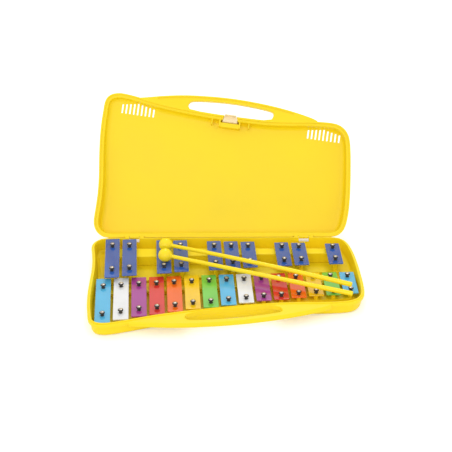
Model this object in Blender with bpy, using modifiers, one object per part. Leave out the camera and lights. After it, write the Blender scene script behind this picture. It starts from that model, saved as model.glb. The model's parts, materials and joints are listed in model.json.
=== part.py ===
"""A 25-note glockenspiel (G5 to G7) in a moulded carry case with a hinged lid.

The base tray lies flat with its underside on z = 0 and its middle at the origin. X runs from the
low notes to the high ones, and the lid is hinged along the rear edge, at +Y. Two rows of steel
bars float on pins that stand on four moulded rails. Two beaters lie across the bars.
All lengths are in metres.
"""
import math

import bmesh
import bpy
from mathutils import Matrix, Vector

MM = 0.001

# Case
HINGE_Y = 120 * MM           # rear edge of both rims, and the hinge axis
RIM_Z = 22 * MM              # top of the tray's rim
RIM_GAP = 0.4 * MM           # between the two rims when the lid is shut
AXIS_Z = RIM_Z + RIM_GAP / 2
LID_OPEN = math.radians(128)
OUTLINE_STEPS = 2            # points between two control points of the outline
CORNER_R = 11 * MM           # less than the outline's tightest corner

# The case's outline without its handle: (x, distance in front of the hinge line) in mm, from the
# rear right corner round the front to the rear left one. The rear edge closes it.
BODY_OUTLINE = [
    (170, 0), (182, 3.2), (191, 12), (196.5, 27), (200.5, 50), (203, 80), (204.3, 115),
    (204.4, 148), (201, 168), (190, 181.5), (172, 187.3), (140, 189.5), (110, 189.7), (80, 190.5),
    (58, 192.3), (26, 196.4), (-7, 201), (-51, 208.7), (-100, 219.5), (-137, 230.5), (-157, 236),
    (-172, 238.3), (-185.5, 235.5), (-194, 226), (-197.6, 208), (-200.6, 186), (-202.6, 160),
    (-203.3, 130), (-203.4, 100), (-205, 72), (-208, 48), (-210.6, 30), (-209.6, 18),
    (-204.5, 8.5), (-196, 2.3), (-185, 0)]
HANDLE_ARC = [
    (152, 190.5), (139, 197), (107, 208), (74, 217), (42, 223.8), (17, 228), (-7, 231), (-30, 233),
    (-56, 234.5), (-80, 234.6), (-105, 233.4), (-121, 232), (-137, 231)]
HANDLE_HOLE_FRONT = [          # the grip opening; its rear edge follows the case's wall
    (77, 193.5), (80, 200.5), (75.5, 206.8), (42, 215), (9.5, 220.5), (-23, 223.7), (-49, 224.5),
    (-56.5, 221.8), (-58.5, 216.5), (-56.5, 211.5)]
HANDLE_HOLE_REAR = (-52 * MM, 72 * MM)
HANDLE_HOLE_INSET = 1.2 * MM
HANDLE_ROOT_INSET = 5.8 * MM
HANDLE_SECTION = [(2.6, 0), (0.8, 0.8), (0, 2.6), (0, 7.9), (0.8, 9.7), (2.6, 10.5)]   # as below
HANDLE_THICK = 10.5 * MM

# Wall sections as (inset from the outline, height) in mm
TRAY_SECTION = [
    (9.5, 0), (5.6, 1.5), (4.2, 5), (3.1, 16), (0, 17.6), (0, 21.4), (0.6, 22), (2.6, 22),
    (2.6, 19.8), (6, 19.5), (7.8, 5.6), (12.4, 2.8)]
LID_SECTION = [
    (11, 26.4), (7.9, 23), (7.4, 12), (7.1, 3.3), (6.4, 2.6), (2.6, 2.3), (2.6, 0), (0.6, 0),
    (0, 0.6), (0, 4.4), (3, 6), (4.2, 14), (5.4, 23.4), (8.8, 27.7), (18, 29)]
FLOOR_Z = 2.8 * MM
LID_DEPTH = 29 * MM
LID_SLOPE = 0.09             # the lid gets shallower towards the handle
LID_SLOPE_D = 77             # distance from the hinge, in mm, at which its section is as above
LID_SLOPE_HEIGHTS = (4.4, 23)    # the part of the section, in mm, that takes up the slope

# Hinges: the lid's knuckle turns between two knuckles of the tray on a steel pin
HINGE_X = [-145 * MM, 126 * MM]
KNUCKLE_R = 2.6 * MM
LID_KNUCKLE = 15.2 * MM
TRAY_KNUCKLE = 7.4 * MM
KNUCKLE_GAP = 0.4 * MM
SLOT_FLOOR_Z = 15.6 * MM
HINGE_PIN_R = 1.0 * MM
HINGE_BORE_R = 1.2 * MM
HINGE_PIN_LEN = 30 * MM

# Lid vents: two groups of slots whose ends follow the sloping front edge
VENT_COUNT = 9
VENT_STEP = 6.35 * MM
VENT_WIDTH = 2.6 * MM
VENT_LEAN = math.tan(math.radians(8))
VENTS = [(-167.2, 208.3, 222.9), (137.5, 165.2, 179.2)]   # first slot: x, and its two ends, in mm
VENT_LEVEL = 5               # slots whose ends nearer the handle lie level; the rest step back
VENT_STEP_FRONT = 2.3 * MM
VENT_STEP_REAR = 0.93 * MM

# Latch: a rocking catch in the handle hole's rear wall. Its frame has its origin on the pivot,
# x along the wall and -y out of it. Sections are (y, z) in mm.
LATCH_X = 9.3 * MM
LATCH_TURN = math.radians(7.9)   # the wall's direction there
LATCH_W = 20.5 * MM              # at the pivot
LATCH_SPLAY = 0.27               # how much each side widens per unit of y
LATCH_PIVOT_D = 192.6 * MM
LATCH_PIVOT_UP = 7.5 * MM        # above the rim plane
LATCH_WALL_Y = -4.9 * MM         # the wall's face
LATCH_SECTION = [
    (-7.4, -12.4), (-6.8, -13.2), (-5.7, -13.1), (-5.2, -12.3), (-5.2, -10.9), (-5.7, -10.4),
    (-5.7, -6.0), (-4.6, -5.4), (-1.0, -5.2), (3.4, -4.0), (4.6, -1.2), (3.6, 2.2), (0.4, 3.4),
    (-2.6, 3.8), (-5.0, 3.9), (-6.2, 2.2), (-7.0, -1.0), (-7.4, -5.5)]
LATCH_STUB_R = 1.4 * MM
LATCH_BORE_R = 1.7 * MM
POCKET_W = 30.4 * MM
POCKET_TOP = 5.7 * MM
CHEEK_X = [(-17.3, -15.1), (15.1, 17.3)]   # two cheeks hold the stubs, with a rib beyond each
CHEEK_SECTION = [(-3.2, -6.1), (12.0, -6.1), (12.0, 10.0), (6.0, 9.3), (1.6, 5.2), (-0.6, 2.5), (-3.2, 2.5)]
RIB_X = [(-29.9, -28.1), (30.3, 32.1)]
RIB_SECTION = [(0.2, -3.8), (9.6, -3.8), (9.6, 9.65), (6.0, 9.2), (1.9, 5.2), (0.2, 1.2)]
HOUSING_BACK = ((-17.0, 10.8, -5.8), (17.0, 13.0, 9.9))   # the wall behind the latch
RECESS_GAP = 1.2 * MM            # beside the hook in the tray's wall
CATCH_LIP = 2.4 * MM             # height of the tray's lip that the hook goes under
CATCH_DEPTH = 1.8 * MM

# Bars
BAR_T = 2.0 * MM
NATURAL_W = 22.2 * MM
SHARP_W = 22.0 * MM
LONGEST_BAR = 113.5 * MM     # G5; a free steel bar's length halves every 24 semitones
NATURAL_TOP = 17 * MM
SHARP_TOP = 26 * MM
NATURAL_PITCH = 26 * MM
SHARP_PITCH = 26.4 * MM
NATURAL_X0 = -179.5 * MM
SHARP_X0 = -174.5 * MM
FAN = (math.radians(4.3), math.radians(1.4))   # lean of the bars, from the low notes to the high ones
REAR_NODE = 0.215            # pins as fractions of the bar's length from each end
NATURAL_FRONT_NODE = (0.16, 0.11)   # for the low notes and for the high ones
SHARP_FRONT_NODE = (0.16, 0.19)
BAR_HOLE_R = 2.9 * MM

# Pins: a dome-headed pin in a rubber sleeve on a moulded post
SLEEVE_R = 2.35 * MM
POST_TOP_R = 3.3 * MM
PIN_HEAD_R = 3.5 * MM
PIN_RISE = 3.6 * MM          # underside of the pin's head above the bar
PIN_DOME = 2.3 * MM
POST_FOOT_R = 3.6 * MM
SEAT_GAP = 0.3 * MM
PIN_SIDES = 8

# Rails
RAIL_WALL = 2.2 * MM
RAIL_END = 6.5 * MM          # from the last pin to the rail's end
STRIP_TOP = 6.6 * MM         # the two front rails are low strips with tall posts
NATURAL_REAR_RAIL_TOP = 9 * MM
SHARP_REAR_RAIL_TOP = 19.5 * MM   # a broad ledge
RAIL_FOOT = FLOOR_Z + SEAT_GAP

# Beaters
HEAD_R = 10.6 * MM
STICK_R_HEAD = 2.8 * MM
STICK_R_TAIL = 3.5 * MM
SOCKET_DEPTH = 7 * MM
BEATERS = {
    "beater_upper": ((-92.5, 74.4, 37.0), (185.0, -33.5, 32.2)),
    "beater_lower": ((-92.0, 43.1, 37.0), (184.5, -50.5, 27.6)),
}

NATURALS = [("g5", 0), ("a5", 2), ("b5", 4), ("c6", 5), ("d6", 7), ("e6", 9), ("f6", 10), ("g6", 12),
            ("a6", 14), ("b6", 16), ("c7", 17), ("d7", 19), ("e7", 21), ("f7", 22), ("g7", 24)]
# A sharp's place is the number of whole naturals to its left, and half a step
SHARPS = [("g_sharp_5", 1, 0), ("a_sharp_5", 3, 1), ("c_sharp_6", 6, 3), ("d_sharp_6", 8, 4),
          ("f_sharp_6", 11, 6), ("g_sharp_6", 13, 7), ("a_sharp_6", 15, 8), ("c_sharp_7", 18, 10),
          ("d_sharp_7", 20, 11), ("f_sharp_7", 23, 13)]
NOTE_COLOURS = {"g": (0.16, 0.62, 0.80), "a": (0.93, 0.94, 0.95), "b": (0.28, 0.16, 0.52),
                "c": (0.78, 0.04, 0.05), "d": (0.93, 0.20, 0.03), "e": (0.95, 0.78, 0.02),
                "f": (0.10, 0.55, 0.10)}
SHARP_COLOUR = (0.09, 0.09, 0.36)
CASE_YELLOW = (0.95, 0.74, 0.01)


# ---------------------------------------------------------------- scene and materials

def clear_scene():
    for obj in list(bpy.data.objects):
        bpy.data.objects.remove(obj, do_unlink=True)


def new_collection(name):
    collection = bpy.data.collections.new(name)
    bpy.context.scene.collection.children.link(collection)
    return collection


def paint(obj, colour, roughness=0.4, metallic=0.0):
    material = bpy.data.materials.new(obj.name)
    material.use_nodes = True
    shader = material.node_tree.nodes["Principled BSDF"]
    shader.inputs["Base Color"].default_value = (*colour, 1)
    shader.inputs["Roughness"].default_value = roughness
    shader.inputs["Metallic"].default_value = metallic
    obj.data.materials.clear()
    obj.data.materials.append(material)
    return obj


def add_object(name, mesh, collection):
    obj = bpy.data.objects.new(name, mesh)
    collection.objects.link(obj)
    return obj


def shade(obj, angle=35):
    obj.data.shade_smooth()
    obj.data.set_sharp_from_angle(angle=math.radians(angle))


# ---------------------------------------------------------------- outlines

def case_point(x, d):
    """A point given in mm as x and the distance in front of the hinge line."""
    return Vector((x * MM, HINGE_Y - d * MM))


def between(ends, t):
    return ends[0] + (ends[1] - ends[0]) * t


def spline(points, steps, closed):
    """Points of a Catmull-Rom curve through the given ones."""
    count = len(points)
    spans = count if closed else count - 1
    out = []
    for i in range(spans):
        if closed:
            a, b, c, d = (points[(i + k) % count] for k in (-1, 0, 1, 2))
        else:
            a, b, c, d = (points[min(max(i + k, 0), count - 1)] for k in (-1, 0, 1, 2))
        for s in range(steps):
            t = s / steps
            out.append(0.5 * ((2 * b) + (c - a) * t + (2 * a - 5 * b + 4 * c - d) * t ** 2
                              + (3 * b - a - 3 * c + d) * t ** 3))
    if not closed:
        out.append(points[-1].copy())
    return out


def body_outline():
    return spline([case_point(*p) for p in BODY_OUTLINE], OUTLINE_STEPS, closed=False)


def counter_clockwise(outline):
    area = sum(a.cross(b) for a, b in zip(outline, outline[1:] + outline[:1]))
    return outline if area > 0 else outline[::-1]


def inset(outline, distance):
    """Move a closed outline inwards, each point along the mean of its two edge normals."""
    count = len(outline)
    moved = []
    for i, here in enumerate(outline):
        before = (here - outline[i - 1]).normalized()
        after = (outline[(i + 1) % count] - here).normalized()
        normal = Vector((-before.y - after.y, before.x + after.x)).normalized()
        stretch = 1 / max(0.5, normal.dot(Vector((-after.y, after.x))))
        moved.append(here + normal * distance * stretch)
    return moved


def drawn_in(outline, distance):
    """The outline moved inwards; past the corners' radius it's drawn towards its middle instead."""
    near = inset(outline, min(distance, CORNER_R))
    low = Vector((min(p.x for p in near), min(p.y for p in near)))
    high = Vector((max(p.x for p in near), max(p.y for p in near)))
    middle = (low + high) / 2
    half = (high - low) / 2
    rest = max(0, distance - CORNER_R)
    return [middle + Vector(((p.x - middle.x) * (1 - rest / half.x), (p.y - middle.y) * (1 - rest / half.y)))
            for p in near]


def front_wall(outline, distance, left, right):
    """A line along the front wall, inset from its outline, from left to right."""
    line = inset(outline, distance)
    middles = [(a + b) / 2 for a, b in zip(line, line[1:] + line[:1])]
    return sorted((p for p in middles if left < p.x < right and p.y < 0), key=lambda p: p.x)


def ribbon(path, ahead, behind):
    """A strip around an open path. Each side's width runs from its first value to its second."""
    sides = [[], []]
    for i, here in enumerate(path):
        t = i / (len(path) - 1)
        along = (path[min(i + 1, len(path) - 1)] - path[max(i - 1, 0)]).normalized()
        normal = Vector((-along.y, along.x))
        sides[0].append(here + normal * between(behind, t))
        sides[1].append(here - normal * between(ahead, t))
    return counter_clockwise(sides[0] + sides[1][::-1])


# ---------------------------------------------------------------- solids

def bridge(name, rings):
    """A closed solid through rings of equal point counts, capped at both ends."""
    bm = bmesh.new()
    loops = [[bm.verts.new(p) for p in ring] for ring in rings]
    count = len(loops[0])
    for low, high in zip(loops, loops[1:]):
        for i in range(count):
            j = (i + 1) % count
            bm.faces.new((low[i], low[j], high[j], high[i]))
    bm.faces.new(loops[0])
    bm.faces.new(loops[-1])
    bmesh.ops.recalc_face_normals(bm, faces=bm.faces)
    mesh = bpy.data.meshes.new(name)
    bm.to_mesh(mesh)
    bm.free()
    return mesh


def loft(name, rings):
    """A closed solid through flat outlines, each with its height."""
    return bridge(name, [[(p.x, p.y, z) for p in ring] for ring, z in rings])


def section_loft(name, outline, section):
    return loft(name, [(drawn_in(outline, r * MM), z * MM) for r, z in section])


def across(name, section, low, high, splay=0.0):
    """A solid of a (y, z) section from one x to another, all in mm. Splay widens it towards +y."""
    sides = ((low, -1), (high, 1))
    ends = [[Vector((x + way * splay * y, y, z)) * MM for y, z in section] for x, way in sides]
    return bridge(name, ends)


def lid_loft(name, outline):
    """The lid's walls and panel. The panel comes nearer to the rim plane towards the handle."""
    start, full = LID_SLOPE_HEIGHTS
    rings = []
    for r, z in LID_SECTION:
        share = min(max((z - start) / (full - start), 0), 1)
        rise = share * LID_SLOPE
        middle = HINGE_Y - LID_SLOPE_D * MM
        rings.append([(p.x, p.y, RIM_Z + RIM_GAP + z * MM + rise * (p.y - middle))
                      for p in drawn_in(outline, r * MM)])
    return bridge(name, rings)


def prism(name, outline, low, high):
    return loft(name, [(outline, low), (outline, high)])


def box(name, low, high):
    bm = bmesh.new()
    bmesh.ops.create_cube(bm, size=1)
    size = Vector(high) - Vector(low)
    middle = (Vector(high) + Vector(low)) / 2
    bmesh.ops.transform(bm, verts=bm.verts, matrix=Matrix.Translation(middle) @ Matrix.Diagonal((*size, 1)))
    mesh = bpy.data.meshes.new(name)
    bm.to_mesh(mesh)
    bm.free()
    return mesh


def rod_x(name, radius, low_x, high_x, y, z, segments=12):
    """A cylinder along X."""
    bm = bmesh.new()
    bmesh.ops.create_cone(bm, cap_ends=True, segments=segments, radius1=radius, radius2=radius,
                          depth=high_x - low_x)
    place = Matrix.Translation(((low_x + high_x) / 2, y, z)) @ Matrix.Rotation(math.pi / 2, 4, "Y")
    bmesh.ops.transform(bm, verts=bm.verts, matrix=place)
    mesh = bpy.data.meshes.new(name)
    bm.to_mesh(mesh)
    bm.free()
    return mesh


def turned(name, profile, segments, collection):
    """A solid of revolution about Z. The profile runs from the top of the axis to its bottom."""
    mesh = bpy.data.meshes.new(name)
    mesh.from_pydata([(r, 0, z) for r, z in profile], [(i, i + 1) for i in range(len(profile) - 1)], [])
    obj = add_object(name, mesh, collection)
    screw = obj.modifiers.new("turn", "SCREW")
    screw.steps = segments
    screw.render_steps = segments
    screw.use_merge_vertices = True
    screw.merge_threshold = 0.00001
    return obj


def baked(obj):
    """The object's mesh after its modifiers; the object itself is removed."""
    bpy.context.view_layer.update()
    mesh = bpy.data.meshes.new_from_object(obj.evaluated_get(bpy.context.evaluated_depsgraph_get()))
    bpy.data.objects.remove(obj, do_unlink=True)
    return mesh


def joined(name, meshes):
    """One mesh that holds the given (mesh, matrix) pairs as separate shells."""
    bm = bmesh.new()
    for mesh, matrix in meshes:
        copy = mesh.copy()
        copy.transform(matrix)
        bm.from_mesh(copy)
        bpy.data.meshes.remove(copy)
    out = bpy.data.meshes.new(name)
    bm.to_mesh(out)
    bm.free()
    return out


def cutter(name, mesh, collection):
    tool = add_object(name, mesh, collection)
    tool.hide_render = True
    tool.display_type = "WIRE"
    return tool


def combine(obj, tool, operation):
    modifier = obj.modifiers.new(tool.name, "BOOLEAN")
    modifier.operation = operation
    modifier.solver = "EXACT"
    modifier.object = tool


def soften(obj, width, segments=1, angle=50):
    modifier = obj.modifiers.new("rounded edges", "BEVEL")
    modifier.width = width
    modifier.segments = segments
    modifier.limit_method = "ANGLE"
    modifier.angle_limit = math.radians(angle)


def hang(obj, hinge):
    """Parent an object, placed as with the lid shut, to the lid's hinge."""
    obj.parent = hinge
    obj.matrix_parent_inverse = Matrix.Translation(-hinge.location)


# ---------------------------------------------------------------- the case

def handle_slab(name, outline, base_z):
    """The handle: a slab from the arc of its outer edge back into the case's front wall."""
    arc = spline([case_point(*p) for p in HANDLE_ARC], 2, closed=False)
    root = front_wall(outline, HANDLE_ROOT_INSET, arc[-1].x, arc[0].x)
    rings = []
    for r, z in HANDLE_SECTION:
        ring = arc + root
        edge = inset(ring[::-1], r * MM)[::-1][:len(arc)]
        rings.append((edge + root, base_z + z * MM))
    return loft(name, rings)


def handle_hole(name, outline, low, high):
    """The grip opening's cutter."""
    rear = front_wall(outline, HANDLE_HOLE_INSET, *HANDLE_HOLE_REAR)
    front = spline([case_point(*p) for p in HANDLE_HOLE_FRONT], 2, closed=False)
    return prism(name, counter_clockwise(rear + front), low, high)


def tray_knuckles():
    """The tray's two knuckles at each hinge."""
    inner = LID_KNUCKLE / 2 + KNUCKLE_GAP
    outer = inner + TRAY_KNUCKLE
    spans = [(x + side * inner, x + side * outer) for x in HINGE_X for side in (-1, 1)]
    return [(min(s), max(s)) for s in spans]


def lid_knuckles():
    return [(x - LID_KNUCKLE / 2, x + LID_KNUCKLE / 2) for x in HINGE_X]


def barrels(name, spans, radius, grow=0.0):
    meshes = [(rod_x(name, radius, a - grow, b + grow, HINGE_Y, AXIS_Z), Matrix()) for a, b in spans]
    return joined(name, meshes)


def make_base_tray(parts, tools, outline):
    tray = add_object("base_tray", section_loft("base_tray", outline, TRAY_SECTION), parts)

    slab = handle_slab("tray handle", outline, RIM_Z - 0.1 * MM - HANDLE_THICK)
    combine(tray, cutter("tray handle", slab, tools), "UNION")
    hole = handle_hole("tray grip", outline, RIM_Z - HANDLE_THICK - 5 * MM, RIM_Z + 5 * MM)
    combine(tray, cutter("tray grip", hole, tools), "DIFFERENCE")

    knuckles = barrels("tray knuckles", tray_knuckles(), KNUCKLE_R)
    combine(tray, cutter("tray knuckles", knuckles, tools), "UNION")
    room = [(box("slot", (a - KNUCKLE_GAP, HINGE_Y - 14 * MM, SLOT_FLOOR_Z),
                 (b + KNUCKLE_GAP, HINGE_Y + 6 * MM, RIM_Z + 4 * MM)), Matrix()) for a, b in lid_knuckles()]
    combine(tray, cutter("hinge slots", joined("hinge slots", room), tools), "DIFFERENCE")
    combine(tray, tools.objects["hinge bores"], "DIFFERENCE")
    lip_z = RIM_Z - CATCH_LIP - latch_pivot().z
    half = LATCH_W / 2 + RECESS_GAP
    recess = box("latch recess", (-half, LATCH_WALL_Y - 6 * MM, lip_z - 5 * MM),
                 (half, LATCH_WALL_Y + CATCH_DEPTH, lip_z))
    recess.transform(latch_frame())
    combine(tray, cutter("latch recess", recess, tools), "DIFFERENCE")
    return paint(tray, CASE_YELLOW, 0.32)


def vent_slots():
    """Slots through the lid's panel, whose ends step back where the edge slopes away."""
    meshes = []
    for start, rear, front in VENTS:
        for i in range(VENT_COUNT):
            x = start * MM + i * VENT_STEP
            near = HINGE_Y - rear * MM + i * VENT_STEP_REAR
            far = HINGE_Y - front * MM + max(0, i - VENT_LEVEL + 1) * VENT_STEP_FRONT
            shift = VENT_LEAN * (near - far) / 2
            half = VENT_WIDTH / 2
            plan = [(x + shift - half, far), (x + shift + half, far), (x - shift + half, near),
                    (x - shift - half, near)]
            slot = prism("slot", [Vector(p) for p in plan], RIM_Z + 7 * MM, RIM_Z + LID_DEPTH + 9 * MM)
            meshes.append((slot, Matrix()))
    return joined("vents", meshes)


def latch_pivot():
    return Vector((LATCH_X, HINGE_Y - LATCH_PIVOT_D, RIM_Z + RIM_GAP + LATCH_PIVOT_UP))


def latch_frame():
    return Matrix.Translation(latch_pivot()) @ Matrix.Rotation(LATCH_TURN, 4, "Z")


def latch_housing():
    """Two cheeks inside the lid that hold the latch's stubs, and a rib on each side of them."""
    solids = [across("cheek", CHEEK_SECTION, *x) for x in CHEEK_X]
    solids += [across("rib", RIB_SECTION, *x) for x in RIB_X]
    return joined("latch housing", [(solid, latch_frame()) for solid in solids])


def make_lid_shell(parts, tools, outline, hinge):
    lid = add_object("lid_shell", lid_loft("lid_shell", outline), parts)
    slab = handle_slab("lid handle", outline, RIM_Z + RIM_GAP + 0.1 * MM)
    grip = handle_hole("lid grip", outline, RIM_Z - 5 * MM, RIM_Z + HANDLE_THICK + 5 * MM)
    room = barrels("knuckle room", tray_knuckles(), KNUCKLE_R + 0.5 * MM, KNUCKLE_GAP + 0.1 * MM)
    half = POCKET_W / 2
    pocket = box("latch pocket", (-half, LATCH_WALL_Y - 8 * MM, -12 * MM), (half, 6 * MM, POCKET_TOP))
    back = box("latch back", *(Vector(corner) * MM for corner in HOUSING_BACK))
    reach = half + 3 * MM
    bore = rod_x("latch bore", LATCH_BORE_R, -reach, reach, 0, 0, 12)
    for mesh in (pocket, back, bore):
        mesh.transform(latch_frame())
    for name, mesh, operation in (
            ("lid handle", slab, "UNION"), ("lid grip", grip, "DIFFERENCE"),
            ("lid knuckles", barrels("lid knuckles", lid_knuckles(), KNUCKLE_R), "UNION"),
            ("knuckle room", room, "DIFFERENCE"), ("latch pocket", pocket, "DIFFERENCE"),
            ("latch housing", latch_housing(), "UNION"), ("latch back", back, "UNION"),
            ("latch bore", bore, "DIFFERENCE"), ("vents", vent_slots(), "DIFFERENCE")):
        tool = cutter(name, mesh, tools)
        hang(tool, hinge)
        combine(lid, tool, operation)
    combine(lid, tools.objects["hinge bores"], "DIFFERENCE")
    hang(lid, hinge)
    return paint(lid, CASE_YELLOW, 0.32)


def make_hinge_bores(tools):
    """The bores for the hinge pins, through both halves' knuckles."""
    reach = LID_KNUCKLE / 2 + TRAY_KNUCKLE + 2 * MM
    bores = [(rod_x("bore", HINGE_BORE_R, x - reach, x + reach, HINGE_Y, AXIS_Z, 8), Matrix())
             for x in HINGE_X]
    cutter("hinge bores", joined("hinge bores", bores), tools)


def make_hinge_pins(parts):
    half = HINGE_PIN_LEN / 2
    pins = []
    for name, x in zip(("hinge_pin_left", "hinge_pin_right"), HINGE_X):
        pin = add_object(name, rod_x(name, HINGE_PIN_R, x - half, x + half, HINGE_Y, AXIS_Z, 8), parts)
        shade(pin)
        pins.append(paint(pin, (0.55, 0.55, 0.57), 0.3, 1.0))
    return pins


# ---------------------------------------------------------------- bars, pins and rails

def lean(x):
    """The angle of the bar at x, turned about its middle so that its front end lies further right."""
    return between(FAN, (x - NATURAL_X0) / (14 * NATURAL_PITCH))


def bar_row():
    """Every bar's name, middle, length, width, top and its two pins' distances from the middle."""
    bars = []
    for i, (note, semitone) in enumerate(NATURALS):
        x = NATURAL_X0 + i * NATURAL_PITCH
        t = i / (len(NATURALS) - 1)
        rear = (9 + 15.3 * t + 9 * t * (1 - t)) * MM
        bars.append(bar_data(note, semitone, x, rear, NATURAL_W, NATURAL_TOP, between(NATURAL_FRONT_NODE, t)))
    for note, semitone, place in SHARPS:
        x = SHARP_X0 + place * SHARP_PITCH
        t = place / 13
        rear = (110 - 16.6 * t) * MM
        bars.append(bar_data(note, semitone, x, rear, SHARP_W, SHARP_TOP, between(SHARP_FRONT_NODE, t)))
    return bars


def bar_data(note, semitone, x, rear, width, top, front_node):
    length = LONGEST_BAR * 2 ** (-semitone / 24)
    pins = (length * (0.5 - REAR_NODE), -length * (0.5 - front_node))
    return {"note": note, "length": length, "width": width, "top": top, "pins": pins,
            "middle": Vector((x, rear - length / 2, top - BAR_T / 2)), "angle": lean(x)}


def pin_points(bar):
    """The bar's rear and front pins, in plan."""
    turn = Matrix.Rotation(bar["angle"], 2)
    return [bar["middle"].xy + turn @ Vector((0, y)) for y in bar["pins"]]


def make_bar(bar, parts, tools):
    name = "bar_" + bar["note"]
    half = Vector((bar["width"], bar["length"], BAR_T)) / 2
    obj = add_object(name, box(name, -half, half), parts)
    obj.location = bar["middle"]
    obj.rotation_euler.z = bar["angle"]
    holes = []
    for y in bar["pins"]:
        bm = bmesh.new()
        bmesh.ops.create_cone(bm, cap_ends=True, segments=8, radius1=BAR_HOLE_R, radius2=BAR_HOLE_R,
                              depth=4 * BAR_T)
        mesh = bpy.data.meshes.new("hole")
        bm.to_mesh(mesh)
        bm.free()
        holes.append((mesh, Matrix.Translation((0, y, 0))))
    tool = cutter(name + " holes", joined("holes", holes), tools)
    tool.matrix_world = Matrix.Translation(bar["middle"]) @ Matrix.Rotation(bar["angle"], 4, "Z")
    combine(obj, tool, "DIFFERENCE")
    natural = len(bar["note"]) == 2
    return paint(obj, NOTE_COLOURS[bar["note"][0]] if natural else SHARP_COLOUR, 0.22, 0.3)


def pin_profile(rail_top, bar_top):
    """Domed head, rubber sleeve and tapered post, from the top of the head down."""
    seat = bar_top - BAR_T - SEAT_GAP
    under = bar_top + PIN_RISE
    foot = rail_top - 0.5 * MM
    return [(0, under + PIN_DOME), (PIN_HEAD_R * 0.7, under + PIN_DOME * 0.78), (PIN_HEAD_R, under),
            (SLEEVE_R, under), (SLEEVE_R, seat), (POST_TOP_R, seat), (POST_FOOT_R, foot), (0, foot)]


def make_rail(name, points, rail_top, bar_top, ahead, behind, parts, tools):
    """An inverted channel under a row of pins, with a post, sleeve and pin at each point."""
    path = [p.copy() for p in points]
    path.insert(0, points[0] + (points[0] - points[1]).normalized() * RAIL_END)
    path.append(points[-1] + (points[-1] - points[-2]).normalized() * RAIL_END)
    rail = add_object(name, prism(name, ribbon(path, ahead, behind), RAIL_FOOT, rail_top), parts)
    soften(rail, 0.8 * MM)
    inner = [path[0].lerp(path[1], 0.25)] + path[1:-1] + [path[-1].lerp(path[-2], 0.25)]
    hollow = prism(name + " hollow",
                   ribbon(inner, [w - RAIL_WALL for w in ahead], [w - RAIL_WALL for w in behind]),
                   RAIL_FOOT - 1 * MM, rail_top - RAIL_WALL)
    combine(rail, cutter(name + " hollow", hollow, tools), "DIFFERENCE")
    pin = baked(turned("pin", pin_profile(rail_top, bar_top), PIN_SIDES, tools))
    pins = joined(name + " pins", [(pin, Matrix.Translation((p.x, p.y, 0))) for p in points])
    combine(rail, cutter(name + " pins", pins, tools), "UNION")
    return paint(rail, CASE_YELLOW, 0.4)


def make_rails(bars, parts, tools):
    naturals = [pin_points(b) for b in bars[:len(NATURALS)]]
    sharps = [pin_points(b) for b in bars[len(NATURALS):]]
    for name, row, which, rail_top, bar_top, ahead, behind in (
            ("natural_rear_rail", naturals, 0, NATURAL_REAR_RAIL_TOP, NATURAL_TOP, (6, 6), (6, 6)),
            ("natural_front_rail", naturals, 1, STRIP_TOP, NATURAL_TOP, (5, 5), (5, 5)),
            ("sharp_rear_rail", sharps, 0, SHARP_REAR_RAIL_TOP, SHARP_TOP, (23, 5), (4, 8)),
            ("sharp_front_rail", sharps, 1, STRIP_TOP, SHARP_TOP, (5, 5), (5, 5))):
        make_rail(name, [pins[which] for pins in row], rail_top, bar_top, [w * MM for w in ahead],
                  [w * MM for w in behind], parts, tools)


# ---------------------------------------------------------------- beaters

def make_beater(name, head, tail, parts, tools):
    """A ball on a tapered stick that lies across the bars."""
    head = Vector(head) * MM
    tail = Vector(tail) * MM
    along = (tail - head).normalized()
    root = bpy.data.objects.new(name, None)
    parts.objects.link(root)
    root.location = head
    root.rotation_euler = Vector((0, 0, 1)).rotation_difference(along).to_euler()

    bm = bmesh.new()
    bmesh.ops.create_uvsphere(bm, u_segments=16, v_segments=10, radius=HEAD_R)
    mesh = bpy.data.meshes.new(name + "_head")
    bm.to_mesh(mesh)
    bm.free()
    ball = add_object(name + "_head", mesh, parts)
    ball.parent = root
    shade(ball)
    paint(ball, CASE_YELLOW, 0.35)

    start = HEAD_R - SOCKET_DEPTH
    clearance = 0.3 * MM
    socket = turned(name + " socket", [(0, HEAD_R + 5 * MM), (STICK_R_HEAD + clearance, HEAD_R + 5 * MM),
                                       (STICK_R_HEAD + clearance, start - clearance),
                                       (0, start - clearance)], 8, tools)
    socket.hide_render = True
    socket.display_type = "WIRE"
    socket.parent = root
    combine(ball, socket, "DIFFERENCE")

    end = (tail - head).length
    round_r = STICK_R_TAIL
    profile = [(0, end), (round_r * 0.6, end - round_r * 0.2), (round_r * 0.95, end - round_r * 0.7),
               (round_r, end - round_r * 1.3), (STICK_R_HEAD, start + 20 * MM), (STICK_R_HEAD, start),
               (0, start)]
    stick = turned(name + "_stick", profile, 10, parts)
    stick.parent = root
    paint(stick, CASE_YELLOW, 0.35)
    return root


# ---------------------------------------------------------------- the latch

def make_latch(parts, tools, hinge):
    """Finger pad, hook and two stubs that turn in the lid's cheeks."""
    half = LATCH_W / 2 / MM
    latch = add_object("latch", across("latch", LATCH_SECTION, -half, half, LATCH_SPLAY), parts)
    soften(latch, 0.5 * MM)
    reach = CHEEK_X[1][1] * MM
    stubs = cutter("latch stubs", rod_x("latch stubs", LATCH_STUB_R, -reach, reach, 0, 0, 12), tools)
    combine(latch, stubs, "UNION")
    for obj in (latch, stubs):
        obj.location = latch_pivot()
        obj.rotation_euler.z = LATCH_TURN
        hang(obj, hinge)
    return paint(latch, (0.93, 0.88, 0.84), 0.35)


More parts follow.
